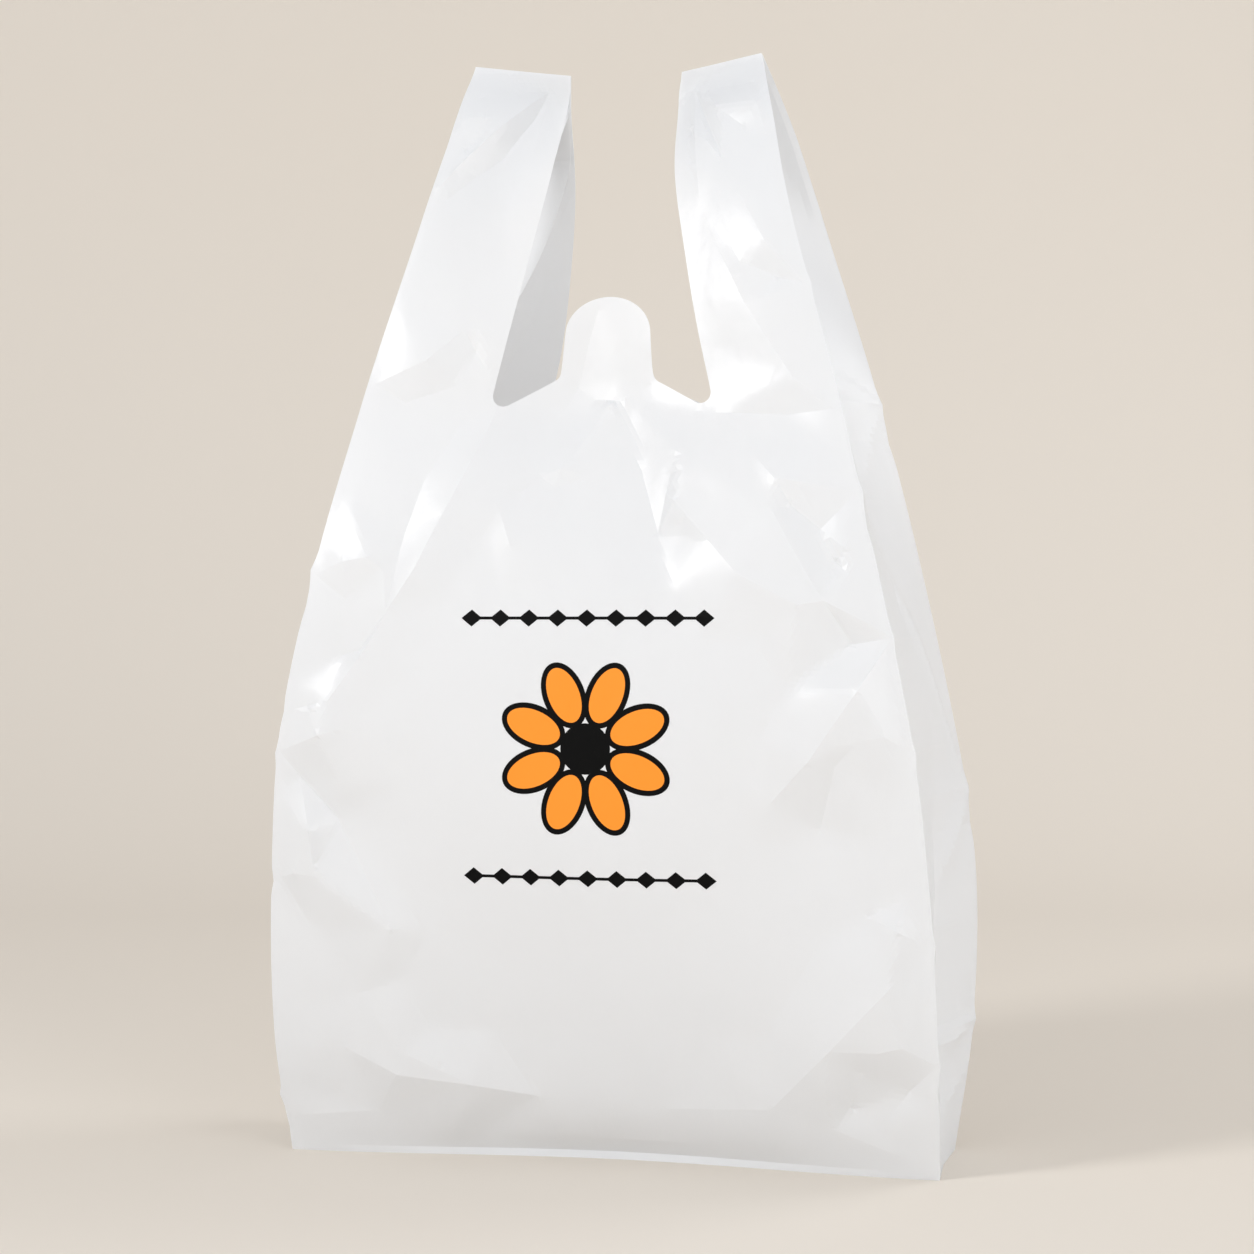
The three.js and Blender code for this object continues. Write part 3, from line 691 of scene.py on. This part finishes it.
def gusset_corners(side, hand):
    """Half of a gusset as a grid, from its fold with the panel to its own middle or its cut edge."""
    shares = np.linspace(0, 1, gusset_columns)
    share, row = np.meshgrid(shares, fold_rows)
    share = share.ravel()
    row = row.ravel()
    fold_x = fold_at(side, hand, row)
    fold_y = np.maximum(strip_depth, fold_depth(row))
    middle_x = 0.5 * (fold_at(-1, hand, row) + fold_at(1, hand, row)) - tuck(row)
    turn = np.radians(inner_turn(row))
    width = strap_width(side, hand, row)
    cut = np.clip((row - 362) / 10, 0, 1)
    end_x = (1 - cut) * middle_x + cut * (fold_x - width * np.cos(turn))
    end_y = cut * np.maximum(0.4, fold_y - width * np.sin(turn))
    x = fold_x + (end_x - fold_x) * share
    y = fold_y + (end_y - fold_y) * share
    belly = 4 * share * (1 - share)
    lift = ridge_lift(gusset_creases, side * y, row) + 0.8 * slack(side * y, row, 21.3 + hand)
    fade = np.clip(row / 20, 0, 1) * np.clip((500 - row) / 60, 0, 1)
    x = x + lift * fade * np.clip(belly * 3, 0, 1)
    z = row - row_drop(hand * x, row)
    depth, free = smooth_depth(side, hand * x, z)
    limit = depth - film_gap * 2.2 - layer_clearance * free
    y = np.where((row > 360) & (share > 0), np.minimum(y, np.maximum(limit, 0.18)), y)
    y = np.where(share == 0, fold_y, y)
    x = np.where(share == 0, fold_x, x)
    z = np.where(share == 0, row, z)
    return np.column_stack([hand * x, side * y, z])


def grid_faces(columns, rows, flip):
    """The four-cornered faces of a grid of corners."""
    faces = []
    for j in range(rows - 1):
        for i in range(columns - 1):
            a = j * columns + i
            face = (a, a + 1, a + columns + 1, a + columns)
            faces.append(face[::-1] if flip else face)
    return faces


gusset_halves = {}
for side in (-1, 1):
    for hand in (-1, 1):
        corners = gusset_corners(side, hand)
        gusset_halves[(side, hand)] = corners
        add_sheet(corners, grid_faces(gusset_columns, len(fold_rows), side * hand > 0))

# The base. The panels and gussets turn under at the floor, and the tube's bottom is welded shut
# across the middle of the base, so the base is one flat piece of film inside their lowest edges.
front_row = panel_corners(-1, np.array([
    (-fold_at(-1, -1, 0.0) + (fold_at(-1, -1, 0.0) + fold_at(-1, 1, 0.0)) * s, 0.0) for s in base_shares
]))
back_row = panel_corners(1, np.array([
    (-fold_at(1, -1, 0.0) + (fold_at(1, -1, 0.0) + fold_at(1, 1, 0.0)) * s, 0.0) for s in base_shares
]))
side_rows = {}
for hand in (-1, 1):
    half_front = gusset_halves[(-1, hand)][:gusset_columns]
    half_back = gusset_halves[(1, hand)][:gusset_columns][::-1]
    side_rows[hand] = np.vstack([half_front, half_back[1:]])
depth_shares = np.linspace(0, 1, 2 * gusset_columns - 1)
base_corners = []
for j, v in enumerate(depth_shares):
    for i, u in enumerate(base_shares):
        across = (1 - v) * front_row[i] + v * back_row[i]
        along = (1 - u) * side_rows[-1][j] + u * side_rows[1][j]
        four = (1 - v) * ((1 - u) * front_row[0] + u * front_row[-1])
        four = four + v * ((1 - u) * back_row[0] + u * back_row[-1])
        base_corners.append(across + along - four)
add_sheet(base_corners, grid_faces(len(base_shares), len(depth_shares), True))


def film_mesh(name):
    """All the sheets joined along their folds, in metres."""
    corners = np.vstack(film_corners) * mm
    mesh = bpy.data.meshes.new(name)
    mesh.from_pydata([tuple(c) for c in corners], [], film_faces)
    mesh.update()
    mesh.polygons.foreach_set("material_index", film_inks)
    piece = bpy.data.objects.new(name, mesh)
    bpy.context.collection.objects.link(piece)
    edit = bmesh.new()
    edit.from_mesh(mesh)
    bmesh.ops.remove_doubles(edit, verts=edit.verts, dist=4e-5)
    edit.to_mesh(mesh)
    edit.free()
    return piece


def choose(piece):
    """Makes a piece the only one that the next operators act on."""
    bpy.ops.object.select_all(action="DESELECT")
    piece.select_set(True)
    bpy.context.view_layer.objects.active = piece


film = film_mesh("film")
choose(film)
bpy.ops.object.mode_set(mode="EDIT")
bpy.ops.mesh.select_all(action="SELECT")
bpy.ops.mesh.normals_make_consistent(inside=False)
bpy.ops.object.mode_set(mode="OBJECT")
wall = film.modifiers.new("wall", "SOLIDIFY")
wall.thickness = film_wall * mm
wall.offset = -1
wall.material_offset = 3
bpy.ops.object.modifier_apply(modifier=wall.name)
crest_angle = math.radians(5.5)
bpy.ops.object.shade_smooth_by_angle(angle=crest_angle)

# The film's finish. The plastic is white all through, slightly milky, with a soft gloss that shows
# every small wrinkle. The fine crinkle is too small to model, so it is a bump on the surface.


class Wire:
    """A socket of a finish. Sums and products of wires and numbers add their own Math nodes."""

    def __init__(self, finish, socket):
        self.finish = finish
        self.socket = socket

    def _math(self, operation, first, second):
        return self.finish.node("ShaderNodeMath", {"operation": operation}, {0: first, 1: second})

    def __add__(self, other):
        return self._math("ADD", self, other)

    def __radd__(self, other):
        return self._math("ADD", other, self)

    def __mul__(self, other):
        return self._math("MULTIPLY", self, other)

    def __rmul__(self, other):
        return self._math("MULTIPLY", other, self)


class Finish:
    """A material whose nodes are added one at a time."""

    def __init__(self, name):
        self.material = bpy.data.materials.new(name)
        self.material.use_nodes = True
        self.tree = self.material.node_tree
        self.surface = self.tree.nodes["Principled BSDF"]

    def node(self, kind, settings, sockets, out=0):
        made = self.tree.nodes.new(kind)
        for key, value in settings.items():
            setattr(made, key, value)
        for key, value in sockets.items():
            self.feed(made.inputs[key], value)
        return Wire(self, made.outputs[out])

    def feed(self, socket, value):
        if isinstance(value, Wire):
            self.tree.links.new(value.socket, socket)
        else:
            socket.default_value = value


def crinkle(finish, strength):
    """Fine wrinkles of thin film: short ones all over, and longer ones up the bag."""
    place = finish.node("ShaderNodeTexCoord", {}, {}, out="Object")
    stretched = finish.node("ShaderNodeMapping", {}, {"Vector": place, "Scale": (1.0, 1.0, 0.45)})
    long_ones = finish.node(
        "ShaderNodeTexNoise", {},
        {"Vector": stretched, "Scale": 60.0, "Detail": 3.0, "Roughness": 0.5, "Distortion": 0.6},
    )
    short_ones = finish.node(
        "ShaderNodeTexNoise", {},
        {"Vector": place, "Scale": 190.0, "Detail": 2.0, "Roughness": 0.5, "Distortion": 0.3},
    )
    height = long_ones + 0.35 * short_ones
    return finish.node(
        "ShaderNodeBump", {}, {"Strength": strength, "Distance": 0.0012, "Height": height},
    )


def let_light_through(finish, share, colour):
    """Lets a share of the light that falls on a face through it, scattered."""
    through = finish.tree.nodes.new("ShaderNodeBsdfTranslucent")
    through.inputs["Color"].default_value = colour
    both = finish.tree.nodes.new("ShaderNodeMixShader")
    both.inputs["Fac"].default_value = share
    finish.tree.links.new(finish.surface.outputs["BSDF"], both.inputs[1])
    finish.tree.links.new(through.outputs["BSDF"], both.inputs[2])
    finish.tree.links.new(both.outputs["Shader"], finish.tree.nodes["Material Output"].inputs["Surface"])


white_film = Finish("white_film")
white_film.surface.inputs["Base Color"].default_value = (0.95, 0.957, 0.968, 1)
white_film.surface.inputs["Roughness"].default_value = 0.29
white_film.surface.inputs["IOR"].default_value = 1.5
white_film.feed(white_film.surface.inputs["Normal"], crinkle(white_film, 0.28))
let_light_through(white_film, 0.5, (0.96, 0.967, 0.976, 1))

orange_ink = Finish("orange_ink")
orange_ink.surface.inputs["Base Color"].default_value = (0.93, 0.29, 0.026, 1)
orange_ink.surface.inputs["Roughness"].default_value = 0.4
orange_ink.surface.inputs["Specular IOR Level"].default_value = 0.25
orange_ink.feed(orange_ink.surface.inputs["Normal"], crinkle(orange_ink, 0.35))

black_ink = Finish("black_ink")
black_ink.surface.inputs["Base Color"].default_value = (0.004, 0.004, 0.004, 1)
black_ink.surface.inputs["Roughness"].default_value = 0.45
black_ink.surface.inputs["Specular IOR Level"].default_value = 0.06
black_ink.feed(black_ink.surface.inputs["Normal"], crinkle(black_ink, 0.35))

# the last slot is the film's inner side, which is white behind the inks too
for finish in (white_film, orange_ink, black_ink, white_film):
    film.data.materials.append(finish.material)

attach(film, "root")
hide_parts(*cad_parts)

# The floor and wall. A seamless sweep of warm pale grey paper that rises behind the bag in one
# soft curve, lit as a studio would light it.
bpy.ops.mesh.primitive_plane_add(size=1, location=(0, 0, 0))
sweep = bpy.context.active_object
sweep.name = "sweep"
edit = bmesh.new()
profile = [(-3.0, 0.0), (0.6, 0.0), (1.0, 0.0)]
for k in range(1, 13):
    turn = k / 12 * math.pi / 2
    profile.append((1.0 + 0.9 * math.sin(turn), 0.9 - 0.9 * math.cos(turn)))
profile.append((1.9, 3.5))
camera_turn = math.radians(12.87)
rows = []
for away, up in profile:
    row = []
    for across in np.linspace(-4, 4, 9):
        x = across * math.cos(camera_turn) - away * math.sin(camera_turn)
        y = across * math.sin(camera_turn) + away * math.cos(camera_turn)
        row.append(edit.verts.new((x, y, up)))
    rows.append(row)
for lower, upper in zip(rows, rows[1:]):
    for i in range(8):
        edit.faces.new((lower[i], lower[i + 1], upper[i + 1], upper[i]))
edit.to_mesh(sweep.data)
edit.free()
for face in sweep.data.polygons:
    face.use_smooth = True

paper = Finish("sweep_paper")
paper.surface.inputs["Base Color"].default_value = (0.762, 0.708, 0.638, 1)
paper.surface.inputs["Roughness"].default_value = 0.9
paper.surface.inputs["Specular IOR Level"].default_value = 0.1
sweep.data.materials.clear()
sweep.data.materials.append(paper.material)

# The light. A soft key from the upper left in front, a broad fill from the right, a weaker lamp behind
# the bag that shines through the handles, and a pale surround.
world = bpy.data.worlds.new("surround")
bpy.context.scene.world = world
world.use_nodes = True
world.node_tree.nodes["Background"].inputs["Color"].default_value = (0.985, 0.995, 1.02, 1)
world.node_tree.nodes["Background"].inputs["Strength"].default_value = 0.62


def soft_lamp(name, place, aim, size, power):
    """A flat lamp of some size, turned towards a point."""
    lamp = bpy.data.lights.new(name, "AREA")
    lamp.shape = "RECTANGLE"
    lamp.size = size[0]
    lamp.size_y = size[1]
    lamp.energy = power
    holder = bpy.data.objects.new(name, lamp)
    bpy.context.collection.objects.link(holder)
    holder.location = place
    holder.rotation_euler = (Vector(aim) - Vector(place)).to_track_quat("-Z", "Y").to_euler()


soft_lamp("key", (-1.55, -1.85, 1.35), (0, 0, 0.12), (0.55, 0.75), 30)
soft_lamp("fill", (1.9, -1.6, 0.45), (0, 0, 0.1), (1.4, 1.4), 24)
soft_lamp("back", (1.5, 0.9, 1.4), (0, 0, 0.35), (1.2, 1.2), 10)

# The camera, where the photograph was taken from: to the right of the middle, level with the print,
# and a little over a metre away.
camera_data = bpy.data.cameras.new("camera")
camera_data.sensor_width = 36
camera_data.lens = 74.07
camera = bpy.data.objects.new("camera", camera_data)
bpy.context.collection.objects.link(camera)
reach = 1.28
aside = 0.00163
camera.location = (
    reach * math.sin(camera_turn) + aside * math.cos(camera_turn),
    aside * math.sin(camera_turn) - reach * math.cos(camera_turn),
    0.2672,
)
camera.rotation_euler = (math.radians(90 - 0.35), 0, camera_turn)
bpy.context.scene.camera = camera
bpy.context.scene.view_settings.view_transform = "Standard"
